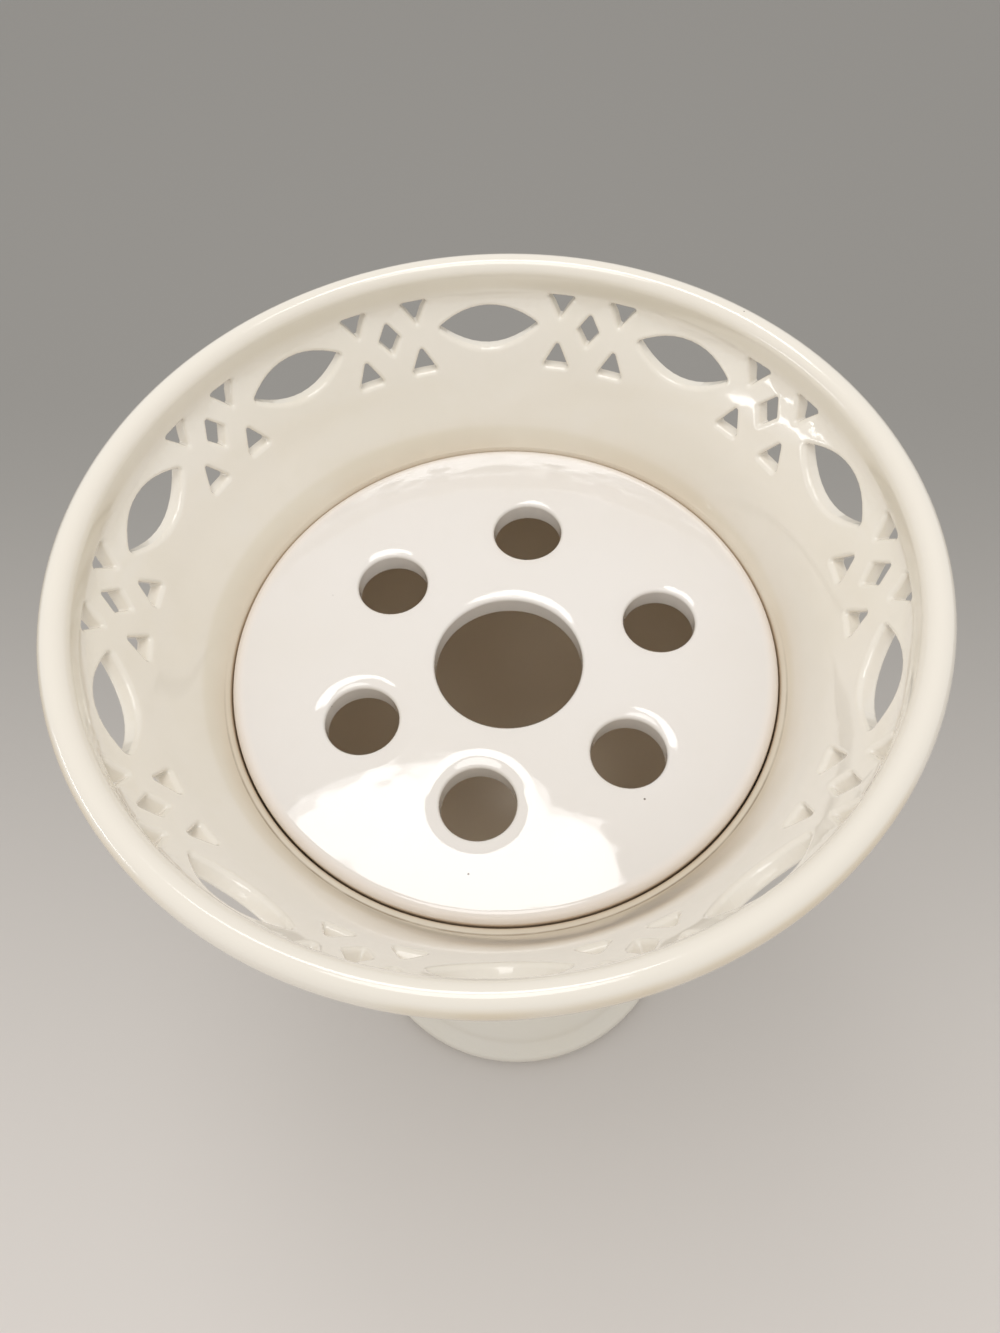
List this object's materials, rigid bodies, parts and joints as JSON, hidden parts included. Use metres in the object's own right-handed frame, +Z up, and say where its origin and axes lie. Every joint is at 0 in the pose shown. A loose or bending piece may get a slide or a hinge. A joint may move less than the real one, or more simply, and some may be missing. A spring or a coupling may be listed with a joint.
{
  "type": "pedestal vase",
  "caption": "Pedestal vase in cream-glazed earthenware, with a flaring pierced gallery and a loose disc that holds the stems.",
  "frame": {"origin": "centre of the foot ring, on the surface the vase stands on", "axes": "+Z up the vase's axis, +X to the right and +Y away from the camera in the picture"},
  "size_m": [0.17, 0.17, 0.228],
  "materials": {
    "bowl_glaze": "glossy cream glaze",
    "foot_glaze": "glossy cream glaze",
    "holder_glaze": "glossy ivory glaze"
  },
  "bodies": {
    "vase": {"bowl": "bowl_glaze", "pedestal_foot": "foot_glaze"},
    "holder": {"flower_holder": "holder_glaze"}
  },
  "joints": [
    {"name": "holder_lift", "type": "slide", "parent": "vase", "child": "holder", "axis": [0, 0, 1], "range_m": [0, 0.06]}
  ]
}
